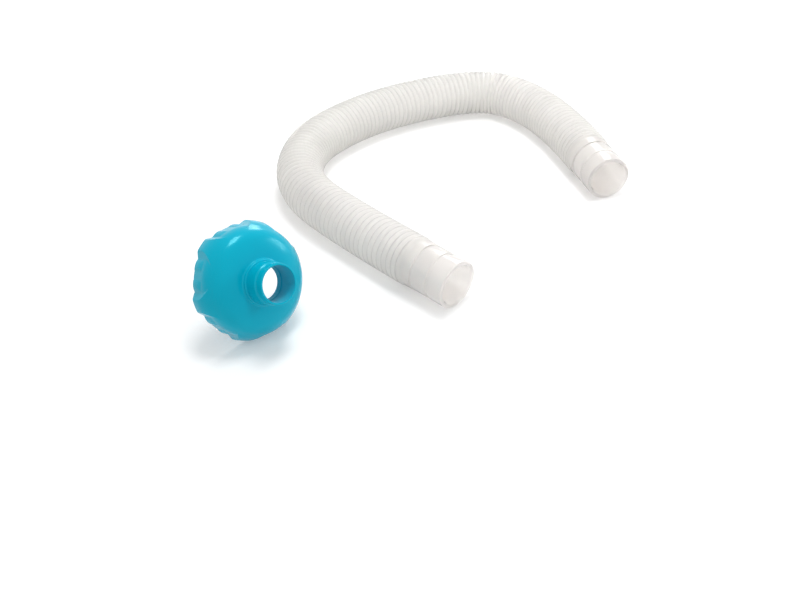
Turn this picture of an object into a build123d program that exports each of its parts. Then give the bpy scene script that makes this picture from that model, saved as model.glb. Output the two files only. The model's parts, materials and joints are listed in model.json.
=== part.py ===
import os
from math import acos, atan2, cos, degrees, hypot, radians, sin, tan

from build123d import *

# All sizes are in millimetres and all angles in degrees.

# Ribbed hose: crests, valleys and a smooth bore
crest_radius = 25.25
rib_height = 2.35
hose_wall = 1.5
rib_count = 114
plain_end = 3.0
rib_foot_share = 0.10
rib_crest_share = 0.32
floor_flat = 0.5

# Route of the hose between its two cuffs, seen from above
route_points = [
    (-15, -138),
    (-82, -73),
    (-141, -2),
    (-140, 78),
    (-95, 140),
    (-29, 188),
    (54, 220),
    (103, 208),
    (151, 143),
    (175, 61),
]
arc_share = 0.45

# Cuffs: a bore that pushes over a spigot as far as a stop, and a tail bonded into the hose
spigot_radius = 19.0
push_clearance = 0.15
bond_clearance = 0.15
cuff_rise = 0.8
cuff_length = 48.0
cuff_collar_length = 9.0
cuff_collar_rise = 0.5
collar_groove_width = 1.6
lip_length = 17.0
lip_groove_width = 3.0
cuff_groove_depth = 1.0
cuff_edge = 0.7
mouth_widening = 1.0
mouth_lead = 4.0
stop_height = 2.0
tail_length = 14.0
tail_wall = 2.85

# Threaded cap: where it stands and how it leans, open side at the back
cap_place = (-171.45, -191.3)
cap_heading = -45.6
cap_tilt = 24.6
floor_clearance = 0.12

# Threaded cap: shell, a plain band that rolls over a round shoulder into a crowned front
band_radius = 49.8
band_length = 13.0
shoulder_round = 17.5
shoulder_sweep = 72.0
crown_rise = 2.96
cap_wall = 3.0

# Threaded cap: grip lobes round the rim, with every third one drawn out into a tab
lobe_count = 18
lobe_height = 1.2
lobe_round = 9.0
lobe_crown_length = 4.0
lobe_length = 18.0
tab_count = 6
tab_rise = 3.8
tab_width = 11.0
tab_foot_width = 31.0
tab_corner = 4.0
tab_crown_length = 5.0
tab_length = 28.0
tab_sink = 10.0
tab_foot_sink = 5.0
lobe_sink = 2.3
rim_edge = 0.9

# Threaded cap: neck
bead_rise = 1.4
bead_length = 3.4
bead_round = 1.2
root_cove = 1.6
neck_length = 24.6
tip_step = 1.1
tip_length = 8.0
tip_wall = 1.7
tip_edge = 0.5
bore_step = 0.5
bore_step_depth = 3.9

# Threaded cap: socket, washer recess and the rib that the washer bears on
socket_wall = 5.2
socket_length = 14.0
mouth_chamfer = 1.0
recess_step = 0.6
washer_seat_height = 19.0
seat_rib_inset = 5.8
seat_rib_width = 2.4
core_groove_inset = 1.0
core_groove_depth = 4.0

# Sealing washer
washer_thickness = 3.0
washer_clearance = 0.3
washer_overhang = 1.3
washer_edge = 0.4

os.makedirs("parts", exist_ok=True)

up = Vector(0, 0, 1)
valley_radius = crest_radius - rib_height
hose_bore_radius = valley_radius - hose_wall
hose_height = crest_radius - floor_flat
cuff_radius = valley_radius + cuff_rise
cuff_bore_radius = spigot_radius + push_clearance
tab_radius = band_radius + tab_rise


def corner_radius(before, corner, after):
    arriving = corner - before
    leaving = after - corner
    shorter_run = min(arriving.length, leaving.length)
    half_turn = radians(arriving.get_angle(leaving) / 2)
    return arc_share * shorter_run / tan(half_turn)


def profile_plane(origin, along, outward):
    # Sketch plane of a turned piece: X is the radius, Y runs along the axis
    return Plane(origin=origin, x_dir=outward, z_dir=outward.cross(along))


# Route of the hose: straight runs joined by tangent arcs
corners = [Vector(x, y, hose_height) for x, y in route_points]
bend_radii = [corner_radius(*corners[i - 1 : i + 2]) for i in range(1, len(corners) - 1)]
print("bend radii:", [round(radius) for radius in bend_radii])

with BuildLine() as hose_route:
    FilletPolyline(*corners, radius=bend_radii)
route = hose_route.wires()[0]
route_length = route.length
print("hose between cuffs:", round(route_length, 1), "whole hose:", round(route_length + 2 * cuff_length, 1))


def hose_plane(distance):
    origin = route.position_at(distance, position_mode=PositionMode.LENGTH)
    along = route.tangent_at(distance, position_mode=PositionMode.LENGTH)
    return Plane(origin=origin, x_dir=up, z_dir=along)


def rib_sections():
    pitch = (route_length - 2 * plain_end) / rib_count
    sections = [(0, valley_radius)]
    for rib in range(rib_count):
        start = plain_end + rib * pitch
        sections.append((start + rib_foot_share * pitch, valley_radius))
        sections.append((start + rib_crest_share * pitch, crest_radius))
        sections.append((start + (1 - rib_crest_share) * pitch, crest_radius))
        sections.append((start + (1 - rib_foot_share) * pitch, valley_radius))
    sections.append((route_length, valley_radius))
    return sections


with BuildPart() as hose_body:
    for distance, radius in rib_sections():
        with BuildSketch(hose_plane(distance)):
            Circle(radius)
    loft(ruled=True)
    with BuildSketch(hose_plane(0)):
        Circle(hose_bore_radius)
    sweep(path=route, mode=Mode.SUBTRACT)
    # The ribs are pressed a little flat where the hose lies on the floor
    with BuildSketch(Plane.XY):
        hose_box = hose_body.part.bounding_box()
        with Locations((hose_box.center().X, hose_box.center().Y)):
            Rectangle(hose_box.size.X * 2, hose_box.size.Y * 2)
    extrude(amount=-crest_radius, mode=Mode.SUBTRACT)
hose_body.part.label = "hose_body"
export_step(hose_body.part, "parts/hose_body.step")


# Cuffs: turned about the ends of the route, tail inside the hose and mouth outwards
tail_radius = hose_bore_radius - bond_clearance
tail_bore_radius = tail_radius - tail_wall
collar_radius = cuff_radius + cuff_collar_rise
groove_radius = cuff_radius - cuff_groove_depth
band_start = cuff_collar_length + collar_groove_width
lip_start = cuff_length - lip_length
band_end = lip_start - lip_groove_width

for cuff_name, distance, direction in (("near_cuff", 0, -1), ("far_cuff", route_length, 1)):
    seat = hose_plane(distance)
    along = seat.z_dir * direction
    with BuildPart() as cuff:
        with BuildSketch(profile_plane(seat.origin, along, up)) as cuff_section:
            with BuildLine():
                Polyline(
                    (tail_bore_radius, -tail_length),
                    (tail_radius - cuff_edge, -tail_length),
                    (tail_radius, cuff_edge - tail_length),
                    (tail_radius, 0),
                    (collar_radius, 0),
                    (collar_radius, cuff_collar_length),
                    (groove_radius, cuff_collar_length),
                    (groove_radius, band_start),
                    (cuff_radius, band_start),
                    (cuff_radius, band_end),
                    (groove_radius, band_end),
                    (groove_radius, lip_start),
                    (cuff_radius, lip_start),
                    (cuff_radius, cuff_length),
                    (cuff_bore_radius + mouth_widening, cuff_length),
                    (cuff_bore_radius, cuff_length - mouth_lead),
                    (cuff_bore_radius, stop_height),
                    (tail_bore_radius, stop_height),
                    close=True,
                )
            make_face()
            outside = cuff_section.vertices().filter_by(lambda corner: corner.X > groove_radius + cuff_edge / 2)
            fillet(outside.filter_by(lambda corner: corner.Y > cuff_edge), cuff_edge)
        revolve(axis=Axis(seat.origin, along))
    cuff.part.label = cuff_name
    export_step(cuff.part, f"parts/{cuff_name}.step")

# Threaded cap: its axis leans up from the floor, and it rests on its lowest lobes
tab_foot_radius = band_radius - tab_foot_sink
flank_angle = atan2((tab_foot_width - tab_width) / 2, tab_radius - tab_foot_radius)
corner_setback = tab_corner * tan(radians(45) - flank_angle / 2)
tab_round_place = Vector(tab_radius - tab_corner, tab_width / 2 - corner_setback)
tab_round_angle = 180 / tab_count - degrees(atan2(tab_round_place.Y, tab_round_place.X))
tab_reach = tab_round_place.length * cos(radians(tab_round_angle)) + tab_corner
lobe_centre_radius = band_radius + lobe_height - lobe_round
lobe_reach = lobe_centre_radius * cos(radians(180 / lobe_count)) + lobe_round
edge_rise = rim_edge * sin(radians(cap_tilt))
rim_height = max(tab_reach, lobe_reach) * cos(radians(cap_tilt)) - edge_rise + floor_clearance

cap_origin = Vector(*cap_place, rim_height)
cap_side = Vector(-sin(radians(cap_heading)), cos(radians(cap_heading)), 0)
cap_axis = Vector(cos(radians(cap_heading)), sin(radians(cap_heading)), tan(radians(cap_tilt))).normalized()
cap_rim = Plane(origin=cap_origin, x_dir=cap_side, z_dir=cap_axis)
cap_half = profile_plane(cap_origin, cap_axis, cap_side)
cap_line = Axis(cap_origin, cap_axis)

shoulder_centre = (band_radius - shoulder_round, band_length)
cap_depth = band_length + shoulder_round * sin(radians(shoulder_sweep)) + crown_rise
inner_face = cap_depth - cap_wall
bead_radius = spigot_radius + bead_rise
bead_end = cap_depth + bead_length
tip_radius = spigot_radius - tip_step
tip_end = cap_depth + neck_length
neck_bore_radius = tip_radius - tip_wall
neck_bore_start = cap_depth + bore_step_depth
inlet_radius = neck_bore_radius - bore_step
socket_radius = band_radius - socket_wall
recess_radius = socket_radius + recess_step
core_groove_outer = socket_radius - core_groove_inset
seat_rib_inner = socket_radius - seat_rib_inset
core_groove_inner = seat_rib_inner + seat_rib_width
core_groove_end = washer_seat_height + core_groove_depth
inner_round = shoulder_round - cap_wall
inner_start = degrees(acos((seat_rib_inner - shoulder_centre[0]) / inner_round))
washer_inner = seat_rib_inner - washer_overhang


def grip_envelope(reach, crown_length, length, sink):
    # Turned: level from the rim, then falling in one arc to under the shoulder
    with BuildPart() as envelope:
        with BuildSketch(cap_half):
            with BuildLine():
                fall = TangentArc((reach, crown_length), (band_radius - sink, length), tangent=(0, 1))
                Polyline(
                    fall @ 1,
                    (0, length),
                    (0, 0),
                    (reach - rim_edge, 0),
                    (reach, rim_edge),
                    fall @ 0,
                )
            make_face()
        revolve(axis=cap_line)
    return envelope.part


with BuildPart() as grip_lobes:
    with BuildSketch(cap_rim):
        Circle(band_radius)
        with PolarLocations(lobe_centre_radius, lobe_count):
            Circle(lobe_round)
    extrude(amount=lobe_length)
    add(grip_envelope(band_radius + lobe_height, lobe_crown_length, lobe_length, lobe_sink), mode=Mode.INTERSECT)

with BuildPart() as grip_tabs:
    with BuildSketch(cap_rim) as tab_plan:
        with PolarLocations(0, tab_count):
            Polygon(
                (tab_radius, tab_width / 2),
                (tab_foot_radius, tab_foot_width / 2),
                (tab_foot_radius, -tab_foot_width / 2),
                (tab_radius, -tab_width / 2),
                align=None,
            )
        fillet(tab_plan.vertices().filter_by(lambda corner: hypot(corner.X, corner.Y) > band_radius), tab_corner)
    extrude(amount=tab_length)
    add(grip_envelope(tab_radius, tab_crown_length, tab_length, tab_sink), mode=Mode.INTERSECT)

with BuildPart() as threaded_cap:
    # Outside: band, shoulder, crowned front, bead and stepped neck, with the grip round it
    with BuildSketch(cap_half) as cap_outside:
        with BuildLine():
            shoulder = CenterArc(shoulder_centre, shoulder_round, 0, shoulder_sweep)
            crown = TangentArc(shoulder @ 1, (bead_radius, cap_depth), tangent=shoulder % 1)
            Polyline(
                crown @ 1,
                (bead_radius, bead_end),
                (spigot_radius, bead_end),
                (spigot_radius, tip_end - tip_length - tip_step),
                (tip_radius, tip_end - tip_length),
                (tip_radius, tip_end),
                (0, tip_end),
                (0, 0),
                (band_radius - rim_edge, 0),
                (band_radius, rim_edge),
                shoulder @ 0,
            )
        make_face()
        for corner, rounding in (
            ((bead_radius, cap_depth), root_cove),
            ((bead_radius, bead_end), bead_round),
            ((tip_radius, tip_end), tip_edge),
        ):
            fillet(cap_outside.vertices().sort_by_distance(corner)[0], rounding)
    revolve(axis=cap_line)
    add(grip_lobes.part)
    add(grip_tabs.part)

    # Inside: socket, washer recess, seat rib with a cored groove behind it, dome and passage
    with BuildSketch(cap_half):
        with BuildLine():
            dome = CenterArc(shoulder_centre, inner_round, inner_start, shoulder_sweep - inner_start)
            Polyline(
                dome @ 1,
                (inlet_radius, inner_face),
                (inlet_radius, neck_bore_start - bore_step),
                (neck_bore_radius, neck_bore_start),
                (neck_bore_radius, tip_end - tip_edge / 2),
                (neck_bore_radius + tip_edge / 2, tip_end),
                (0, tip_end),
                (0, 0),
                (socket_radius + mouth_chamfer, 0),
                (socket_radius, mouth_chamfer),
                (socket_radius, socket_length),
                (recess_radius, socket_length + recess_step),
                (recess_radius, washer_seat_height),
                (core_groove_outer, washer_seat_height),
                (core_groove_outer, core_groove_end),
                (core_groove_inner, core_groove_end),
                (core_groove_inner, washer_seat_height),
                (seat_rib_inner, washer_seat_height),
                dome @ 0,
            )
        make_face()
    revolve(axis=cap_line, mode=Mode.SUBTRACT)
threaded_cap.part.label = "threaded_cap"
export_step(threaded_cap.part, "parts/threaded_cap.step")

# Sealing washer: a flat ring on the seat rib, held by the lip of its recess
with BuildPart() as sealing_washer:
    with BuildSketch(cap_half) as washer_section:
        with BuildLine():
            Polyline(
                (washer_inner, washer_seat_height - washer_thickness),
                (recess_radius - washer_clearance, washer_seat_height - washer_thickness),
                (recess_radius - washer_clearance, washer_seat_height),
                (washer_inner, washer_seat_height),
                close=True,
            )
        make_face()
        chamfer(washer_section.vertices(), washer_edge)
    revolve(axis=cap_line)
sealing_washer.part.label = "sealing_washer"
export_step(sealing_washer.part, "parts/sealing_washer.step")
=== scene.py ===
import bpy
import json
import math
import numpy as np
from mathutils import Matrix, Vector


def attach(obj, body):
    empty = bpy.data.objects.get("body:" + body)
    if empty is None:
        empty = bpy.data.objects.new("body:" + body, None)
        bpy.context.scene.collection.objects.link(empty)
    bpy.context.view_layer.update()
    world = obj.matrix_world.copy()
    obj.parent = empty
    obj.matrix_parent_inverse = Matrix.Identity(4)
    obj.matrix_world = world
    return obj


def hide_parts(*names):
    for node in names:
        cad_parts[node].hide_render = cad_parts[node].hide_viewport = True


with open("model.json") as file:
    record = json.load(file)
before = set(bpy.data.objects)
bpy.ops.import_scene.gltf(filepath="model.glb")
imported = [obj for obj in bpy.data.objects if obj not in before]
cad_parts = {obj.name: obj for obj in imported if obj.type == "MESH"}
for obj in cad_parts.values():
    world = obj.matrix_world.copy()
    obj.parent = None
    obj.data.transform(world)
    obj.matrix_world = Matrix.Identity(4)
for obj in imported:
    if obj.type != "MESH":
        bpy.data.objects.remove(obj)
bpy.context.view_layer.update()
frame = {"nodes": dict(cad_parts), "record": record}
nodes = frame["nodes"]
record = frame["record"]
scene = bpy.context.scene
scene.view_settings.view_transform = "Standard"
print("frame loaded:", sorted(nodes))


# the camera of the photograph
cameraSetup = {
    "place": (-0.033, -0.8998, 0.582),
    "lookAt": (-0.033, -0.162, 0.0),
    "lens": 45.0,
    "sensor": 36.0,
    "clipStart": 0.02,
    "clipEnd": 60.0,
}


def addCamera(setup):
    data = bpy.data.cameras.new("photoCamera")
    data.lens = setup["lens"]
    data.sensor_width = setup["sensor"]
    data.clip_start = setup["clipStart"]
    data.clip_end = setup["clipEnd"]
    camera = bpy.data.objects.new("photoCamera", data)
    camera.location = setup["place"]
    gaze = Vector(setup["lookAt"]) - Vector(setup["place"])
    camera.rotation_euler = gaze.to_track_quat("-Z", "Y").to_euler()
    scene.collection.objects.link(camera)
    scene.camera = camera


addCamera(cameraSetup)
print("camera placed")


# small helpers for node trees
def newMaterial(name):
    material = bpy.data.materials.new(name)
    material.use_nodes = True
    tree = material.node_tree
    return material, tree, tree.nodes["Principled BSDF"]


def addNode(tree, kind, x, y, **settings):
    node = tree.nodes.new(kind)
    node.location = (x, y)
    for key, value in settings.items():
        setattr(node, key, value)
    return node


def groupSockets(group, inputs, outputs):
    for name, kind, value in inputs:
        socket = group.interface.new_socket(name=name, in_out="INPUT", socket_type=kind)
        socket.default_value = value
    for name, kind in outputs:
        group.interface.new_socket(name=name, in_out="OUTPUT", socket_type=kind)


# moulded skin: slow clouding of the colour, uneven gloss and a fine tool grain
def makeMouldedSkin():
    group = bpy.data.node_groups.new("mouldedSkin", "ShaderNodeTree")
    groupSockets(
        group,
        [
            ("Color", "NodeSocketColor", (0.8, 0.8, 0.8, 1)),
            ("Clouded Color", "NodeSocketColor", (0.7, 0.7, 0.7, 1)),
            ("Cloud Scale", "NodeSocketFloat", 30.0),
            ("Roughness", "NodeSocketFloat", 0.3),
            ("Roughness Spread", "NodeSocketFloat", 0.08),
            ("Grain Scale", "NodeSocketFloat", 900.0),
        ],
        [
            ("Color", "NodeSocketColor"),
            ("Roughness", "NodeSocketFloat"),
            ("Height", "NodeSocketFloat"),
        ],
    )
    start = addNode(group, "NodeGroupInput", -900, 0)
    end = addNode(group, "NodeGroupOutput", 500, 0)
    place = addNode(group, "ShaderNodeTexCoord", -900, -300)

    cloud = addNode(group, "ShaderNodeTexNoise", -600, 200)
    cloud.inputs["Detail"].default_value = 3.0
    cloud.inputs["Roughness"].default_value = 0.55
    group.links.new(place.outputs["Object"], cloud.inputs["Vector"])
    group.links.new(start.outputs["Cloud Scale"], cloud.inputs["Scale"])

    spread = addNode(group, "ShaderNodeMapRange", -350, 200)
    spread.inputs["From Min"].default_value = 0.35
    spread.inputs["From Max"].default_value = 0.68
    group.links.new(cloud.outputs["Fac"], spread.inputs["Value"])

    colour = addNode(group, "ShaderNodeMix", -50, 250, data_type="RGBA")
    group.links.new(spread.outputs["Result"], colour.inputs["Factor"])
    group.links.new(start.outputs["Color"], colour.inputs["A"])
    group.links.new(start.outputs["Clouded Color"], colour.inputs["B"])
    group.links.new(colour.outputs["Result"], end.inputs["Color"])

    gloss = addNode(group, "ShaderNodeMath", -50, 0, operation="MULTIPLY_ADD")
    group.links.new(spread.outputs["Result"], gloss.inputs[0])
    group.links.new(start.outputs["Roughness Spread"], gloss.inputs[1])
    group.links.new(start.outputs["Roughness"], gloss.inputs[2])
    group.links.new(gloss.outputs["Value"], end.inputs["Roughness"])

    grain = addNode(group, "ShaderNodeTexNoise", -350, -250)
    grain.inputs["Detail"].default_value = 2.0
    group.links.new(place.outputs["Object"], grain.inputs["Vector"])
    group.links.new(start.outputs["Grain Scale"], grain.inputs["Scale"])
    group.links.new(grain.outputs["Fac"], end.inputs["Height"])
    return group


mouldedSkin = makeMouldedSkin()


def skinMaterial(look):
    material, tree, shader = newMaterial(look["name"])
    skin = addNode(tree, "ShaderNodeGroup", -600, 100, node_tree=mouldedSkin)
    skin.inputs["Color"].default_value = (*look["colour"], 1)
    skin.inputs["Clouded Color"].default_value = (*look["cloudedColour"], 1)
    skin.inputs["Cloud Scale"].default_value = look["cloudScale"]
    skin.inputs["Roughness"].default_value = look["roughness"]
    skin.inputs["Roughness Spread"].default_value = look["roughnessSpread"]
    skin.inputs["Grain Scale"].default_value = look["grainScale"]
    tree.links.new(skin.outputs["Color"], shader.inputs["Base Color"])
    tree.links.new(skin.outputs["Roughness"], shader.inputs["Roughness"])
    bump = addNode(tree, "ShaderNodeBump", -300, -200)
    bump.inputs["Strength"].default_value = look["grainStrength"]
    bump.inputs["Distance"].default_value = look["grainDepth"]
    tree.links.new(skin.outputs["Height"], bump.inputs["Height"])
    tree.links.new(bump.outputs["Normal"], shader.inputs["Normal"])
    shader.inputs["IOR"].default_value = look["ior"]
    shader.inputs["Specular IOR Level"].default_value = look["specular"]
    shader.inputs["Specular Tint"].default_value = (*look["specularTint"], 1)
    shader.inputs["Transmission Weight"].default_value = look["lightThrough"]
    shader.inputs["Coat Weight"].default_value = look["gloss"]
    shader.inputs["Coat Roughness"].default_value = look["glossRoughness"]
    return material


hoseLook = {
    "name": "milkyHose",
    "colour": (0.94, 0.93, 0.912),
    "cloudedColour": (0.92, 0.909, 0.89),
    "cloudScale": 22.0,
    "roughness": 0.6,
    "roughnessSpread": 0.1,
    "grainScale": 700.0,
    "grainStrength": 0.2,
    "grainDepth": 0.0002,
    "ior": 1.12,
    "specular": 0.5,
    "specularTint": (1.0, 1.0, 1.0),
    "lightThrough": 0.68,
    "gloss": 0.6,
    "glossRoughness": 0.13,
}
cuffLook = dict(
    hoseLook,
    name="milkyCuff",
    colour=(0.955, 0.933, 0.915),
    cloudedColour=(0.937, 0.915, 0.895),
    cloudScale=30.0,
    lightThrough=0.6,
    gloss=0.75,
    glossRoughness=0.16,
)
capLook = {
    "name": "bluePlastic",
    "colour": (0.0, 0.445, 0.62),
    "cloudedColour": (0.0, 0.425, 0.595),
    "cloudScale": 26.0,
    "roughness": 0.16,
    "roughnessSpread": 0.06,
    "grainScale": 800.0,
    "grainStrength": 0.15,
    "grainDepth": 0.0002,
    "ior": 1.45,
    "specular": 0.45,
    "specularTint": (0.3, 0.95, 1.0),
    "lightThrough": 0.0,
    "gloss": 0.0,
    "glossRoughness": 0.1,
}
coreLook = dict(capLook, name="blueCore", roughness=0.4, specular=0.12)
washerLook = {
    "name": "blackRubber",
    "colour": (0.03, 0.03, 0.032),
    "cloudedColour": (0.05, 0.05, 0.052),
    "cloudScale": 60.0,
    "roughness": 0.6,
    "roughnessSpread": 0.12,
    "grainScale": 1500.0,
    "grainStrength": 0.4,
    "grainDepth": 0.0003,
    "ior": 1.5,
    "specular": 0.5,
    "specularTint": (1.0, 1.0, 1.0),
    "lightThrough": 0.0,
    "gloss": 0.0,
    "glossRoughness": 0.1,
}

hoseMaterial = skinMaterial(hoseLook)
cuffMaterial = skinMaterial(cuffLook)
capMaterial = skinMaterial(capLook)
coreMaterial = skinMaterial(coreLook)
washerMaterial = skinMaterial(washerLook)
print("materials made")


# edges that stay crisp on the moulded pieces
finish = {
    "weldReach": 0.00001,
    "creaseAngle": 30,
}


def dress(nodeName, material, values):
    piece = nodes[nodeName]
    piece.data.materials.clear()
    piece.data.materials.append(material)
    for polygon in piece.data.polygons:
        polygon.use_smooth = True
    weld = piece.modifiers.new("weld", "WELD")
    weld.merge_threshold = values["weldReach"]
    crease = piece.modifiers.new("crease", "EDGE_SPLIT")
    crease.split_angle = math.radians(values["creaseAngle"])
    crease.use_edge_sharp = False
    return piece


nearCuff = dress("near_cuff", cuffMaterial, finish)
farCuff = dress("far_cuff", cuffMaterial, finish)
cap = dress("threaded_cap", capMaterial, finish)
dress("sealing_washer", washerMaterial, finish)


def findMount(name):
    return next(mount for mount in record["mounts"] if mount["name"] == name)


# satin inside of the cap's neck, where the moulding's core was
core = {
    "mount": "neck_bore",
    "reach": 0.0003,
}


def dressCore(piece, values, material):
    bore = findMount(values["mount"])
    axis = Vector(bore["axis"]).normalized()
    middle = Vector(bore["pos_m"])
    limit = bore["dims"]["r_mm"] / 1000 + values["reach"]
    piece.data.materials.append(material)
    count = 0
    for polygon in piece.data.polygons:
        offset = piece.matrix_world @ polygon.center - middle
        if (offset - axis * offset.dot(axis)).length < limit:
            polygon.material_index = 1
            count += 1
    print("neck faces made satin:", count)


dressCore(cap, core, coreMaterial)
print("rigid pieces dressed")


# thread ridge that winds round the cap's socket
thread = {
    "rootSink": 0.00015,
    "depth": 0.0012,
    "rootWidth": 0.0026,
    "crestWidth": 0.0010,
    "pitch": 0.0045,
    "turns": 1.75,
    "runOut": 0.07,
    "steps": 240,
    "sharpAngle": 35,
}


def makeThread(values):
    socket = findMount("cap_socket")
    axis = Vector(socket["axis"]).normalized()
    side = axis.orthogonal().normalized()
    across = axis.cross(side)
    middle = Vector(socket["pos_m"])
    wall = socket["dims"]["r_mm"] / 1000
    points = []
    faces = []
    for step in range(values["steps"] + 1):
        share = step / values["steps"]
        turn = 2 * math.pi * values["turns"] * share
        spoke = side * math.cos(turn) + across * math.sin(turn)
        height = (share - 0.5) * values["turns"] * values["pitch"]
        swell = min(1.0, share / values["runOut"], (1 - share) / values["runOut"])
        crest = wall - values["depth"] * swell
        root = wall + values["rootSink"]
        for radius, width in (
            (root, -values["rootWidth"]),
            (crest, -values["crestWidth"]),
            (crest, values["crestWidth"]),
            (root, values["rootWidth"]),
        ):
            points.append(middle + spoke * radius + axis * (height + width / 2))
        if step:
            first = 4 * (step - 1)
            for corner in range(4):
                after = (corner + 1) % 4
                a, b = first + corner, first + after
                faces.append((a, b, b + 4, a + 4))
    last = 4 * values["steps"]
    faces.append((3, 2, 1, 0))
    faces.append((last, last + 1, last + 2, last + 3))
    mesh = bpy.data.meshes.new("threadRidge")
    mesh.from_pydata([tuple(point) for point in points], [], faces)
    for polygon in mesh.polygons:
        polygon.use_smooth = True
    mesh.set_sharp_from_angle(angle=math.radians(values["sharpAngle"]))
    mesh.materials.append(capMaterial)
    piece = bpy.data.objects.new("threadRidge", mesh)
    scene.collection.objects.link(piece)
    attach(piece, "adapter")
    print("thread made")


makeThread(thread)


# hose with its ribs, over the same route as the solid
hose = {
    "route": [  # from the near cuff to the far one, metres, seen from above
        (-0.015, -0.138),
        (-0.082, -0.073),
        (-0.141, -0.002),
        (-0.140, 0.078),
        (-0.095, 0.140),
        (-0.029, 0.188),
        (0.054, 0.220),
        (0.103, 0.208),
        (0.151, 0.143),
        (0.175, 0.061),
    ],
    "height": 0.02475,
    "length": 0.719,
    "crest": 0.02525,
    "ribHeight": 0.0018,
    "wall": 0.0015,
    "ribs": 114,
    "plainEnd": 0.003,
    "stepsPerRib": 10,
    "around": 72,
    "crestRoundness": 2.2,
    "routeSteps": 40,
    "sharpAngle": 60,
}


def routeLine(values):
    data = bpy.data.curves.new("hoseRoute", "CURVE")
    data.dimensions = "3D"
    data.resolution_u = values["routeSteps"]
    spline = data.splines.new("NURBS")
    spline.points.add(len(values["route"]) - 1)
    for point, (x, y) in zip(spline.points, values["route"]):
        point.co = (x, y, values["height"], 1.0)
    spline.order_u = 3
    spline.use_endpoint_u = True
    guide = bpy.data.objects.new("hoseRoute", data)
    mesh = bpy.data.meshes.new_from_object(guide)
    points = np.array([vertex.co for vertex in mesh.vertices])
    bpy.data.meshes.remove(mesh)
    bpy.data.objects.remove(guide)
    return points


class RouteRuler:
    def __init__(self, points):
        self.points = points
        steps = np.linalg.norm(np.diff(points, axis=0), axis=1)
        self.reach = np.concatenate([[0.0], np.cumsum(steps)])
        self.length = self.reach[-1]
        self.slopes = np.gradient(points, self.reach, axis=0)

    def read(self, table, distance):
        return np.stack([np.interp(distance, self.reach, table[:, k]) for k in range(3)], axis=-1)

    def at(self, distance):
        return self.read(self.points, distance)

    def along(self, distance):
        slope = self.read(self.slopes, distance)
        return slope / np.linalg.norm(slope, axis=-1, keepdims=True)


def ribProfile(values, length):
    pitch = (length - 2 * values["plainEnd"]) / values["ribs"]
    valley = values["crest"] - values["ribHeight"]
    share = np.arange(values["stepsPerRib"]) / values["stepsPerRib"]
    lift = 1 - np.abs(2 * share - 1) ** values["crestRoundness"]
    starts = values["plainEnd"] + pitch * np.arange(values["ribs"])
    distance = (starts[:, None] + pitch * share[None, :]).ravel()
    radius = np.tile(valley + values["ribHeight"] * lift, values["ribs"])
    distance = np.concatenate([[0.0], distance, [length - values["plainEnd"], length]])
    radius = np.concatenate([[valley], radius, [valley, valley]])
    return distance, radius


def ringGrid(ruler, distance, radius, around):
    centre = ruler.at(distance)
    forward = ruler.along(distance)
    up = np.array([0.0, 0.0, 1.0])
    side = np.cross(up, forward)
    turn = 2 * np.pi * np.arange(around) / around
    rise = np.cos(turn)[None, :, None]
    swing = np.sin(turn)[None, :, None]
    spoke = rise * up + swing * side[:, None, :]
    return centre[:, None, :] + radius[:, None, None] * spoke


def tubeFaces(rings, around, first, inside):
    faces = []
    for ring in range(rings - 1):
        for step in range(around):
            a = first + ring * around + step
            b = first + ring * around + (step + 1) % around
            quad = (a, b, b + around, a + around)
            faces.append(quad[::-1] if inside else quad)
    return faces


def makeHose(values):
    ruler = RouteRuler(routeLine(values))
    distance, radius = ribProfile(values, ruler.length)
    around = values["around"]
    outer = ringGrid(ruler, distance, radius, around)
    inner = ringGrid(ruler, distance, radius - values["wall"], around)
    outer[..., 2] = np.maximum(outer[..., 2], 0.0)  # ribs pressed flat on the floor
    rings = len(distance)
    points = np.concatenate([outer.reshape(-1, 3), inner.reshape(-1, 3)])
    second = rings * around
    faces = tubeFaces(rings, around, 0, True) + tubeFaces(rings, around, second, False)
    for ring, flip in ((0, False), (rings - 1, True)):
        for step in range(around):
            a = ring * around + step
            b = ring * around + (step + 1) % around
            quad = (a, b, b + second, a + second)
            faces.append(quad[::-1] if flip else quad)
    mesh = bpy.data.meshes.new("ribbedHose")
    mesh.from_pydata(points.tolist(), [], faces)
    for polygon in mesh.polygons:
        polygon.use_smooth = True
    mesh.set_sharp_from_angle(angle=math.radians(values["sharpAngle"]))
    mesh.materials.append(hoseMaterial)
    piece = bpy.data.objects.new("ribbedHose", mesh)
    scene.collection.objects.link(piece)
    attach(piece, "hose")
    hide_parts("hose_body")
    print("hose made, length", round(ruler.length, 4))


makeHose(hose)


# white floor and sky, and three softboxes
studio = {
    "floorHalf": 6.0,
    "floorColour": (0.86, 0.86, 0.86),
    "floorLift": 0.22,
    "liftStart": 0.5,
    "liftEnd": 1.5,
    "farLift": 0.7,
    "skyForObject": 0.57,
    "lampAim": (0.0, 0.0, 0.0),
    "sidePlace": (1.2, 0.25, 0.5),
    "sideSize": 0.4,
    "sidePower": 3.5,
    "backPlace": (0.3, 1.4, 1.0),
    "backSize": 0.45,
    "backPower": 6.0,
    "topPlace": (0.0, 0.04, 1.4),
    "topSize": (0.44, 0.54),
    "topPower": 8.5,
}


# 1 for rays that look straight at the background, mirror it or see it through plastic
def seenMask(tree, x, y):
    light = addNode(tree, "ShaderNodeLightPath", x, y)
    direct = addNode(tree, "ShaderNodeMath", x + 200, y, operation="MAXIMUM")
    tree.links.new(light.outputs["Is Camera Ray"], direct.inputs[0])
    tree.links.new(light.outputs["Is Glossy Ray"], direct.inputs[1])
    seen = addNode(tree, "ShaderNodeMath", x + 400, y, operation="MAXIMUM")
    tree.links.new(direct.outputs["Value"], seen.inputs[0])
    tree.links.new(light.outputs["Is Transmission Ray"], seen.inputs[1])
    return seen.outputs["Value"]


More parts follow.
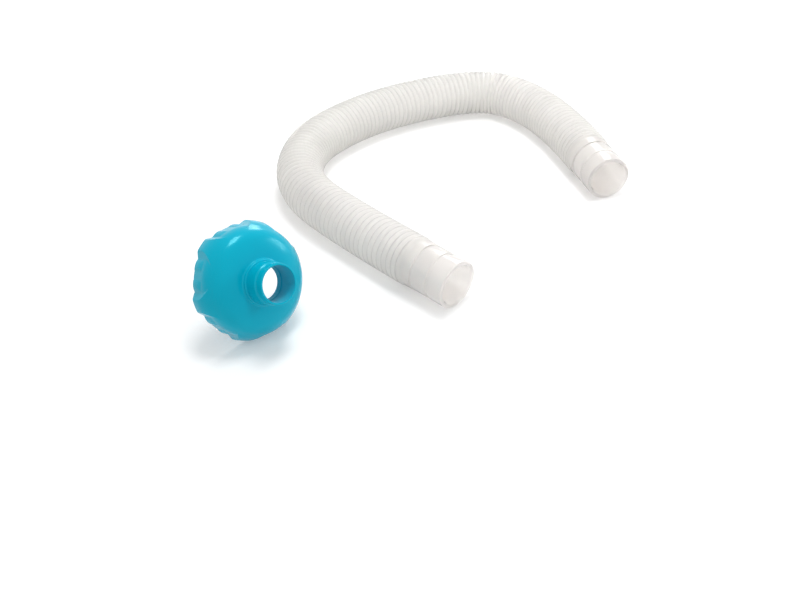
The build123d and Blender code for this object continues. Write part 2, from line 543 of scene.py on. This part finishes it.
def makeFloor(values):
    mesh = bpy.data.meshes.new("studioFloor")
    half = values["floorHalf"]
    corners = [(-half, -half, 0), (half, -half, 0), (half, half, 0), (-half, half, 0)]
    mesh.from_pydata(corners, [], [(0, 1, 2, 3)])
    floor = bpy.data.objects.new("studioFloor", mesh)
    scene.collection.objects.link(floor)
    material, tree, shader = newMaterial("studioFloor")
    shader.inputs["Base Color"].default_value = (*values["floorColour"], 1)
    shader.inputs["Roughness"].default_value = 1.0
    shader.inputs["Specular IOR Level"].default_value = 0.0
    place = addNode(tree, "ShaderNodeTexCoord", -900, -300)
    reach = addNode(tree, "ShaderNodeVectorMath", -700, -300, operation="LENGTH")
    tree.links.new(place.outputs["Object"], reach.inputs[0])
    lift = addNode(tree, "ShaderNodeMapRange", -450, -300)
    lift.inputs["From Min"].default_value = values["liftStart"]
    lift.inputs["From Max"].default_value = values["liftEnd"]
    lift.inputs["To Min"].default_value = values["floorLift"]
    lift.inputs["To Max"].default_value = values["farLift"]
    tree.links.new(reach.outputs["Value"], lift.inputs["Value"])
    glow = addNode(tree, "ShaderNodeMath", -200, -150, operation="MULTIPLY")
    tree.links.new(seenMask(tree, -900, 0), glow.inputs[0])
    tree.links.new(lift.outputs["Result"], glow.inputs[1])
    shader.inputs["Emission Color"].default_value = (1, 1, 1, 1)
    tree.links.new(glow.outputs["Value"], shader.inputs["Emission Strength"])
    mesh.materials.append(material)


def makeWorld(values):
    world = bpy.data.worlds.new("studioSky")
    scene.world = world
    world.use_nodes = True
    tree = world.node_tree
    sky = tree.nodes["Background"]
    sky.inputs["Color"].default_value = (1, 1, 1, 1)
    level = addNode(tree, "ShaderNodeMapRange", -200, 0)
    level.inputs["To Min"].default_value = values["skyForObject"]
    level.inputs["To Max"].default_value = 1.0
    tree.links.new(seenMask(tree, -900, 0), level.inputs["Value"])
    tree.links.new(level.outputs["Result"], sky.inputs["Strength"])


def makeLamp(name, place, aim, size, power):
    data = bpy.data.lights.new(name, "AREA")
    data.energy = power
    if isinstance(size, tuple):
        data.shape = "RECTANGLE"
        data.size, data.size_y = size
    else:
        data.size = size
    lamp = bpy.data.objects.new(name, data)
    lamp.location = place
    lamp.rotation_euler = (Vector(aim) - Vector(place)).to_track_quat("-Z", "Y").to_euler()
    scene.collection.objects.link(lamp)


makeFloor(studio)
makeWorld(studio)
for side in ("side", "back", "top"):
    makeLamp(
        side + "Lamp",
        studio[side + "Place"],
        studio["lampAim"],
        studio[side + "Size"],
        studio[side + "Power"],
    )
print("studio lit")
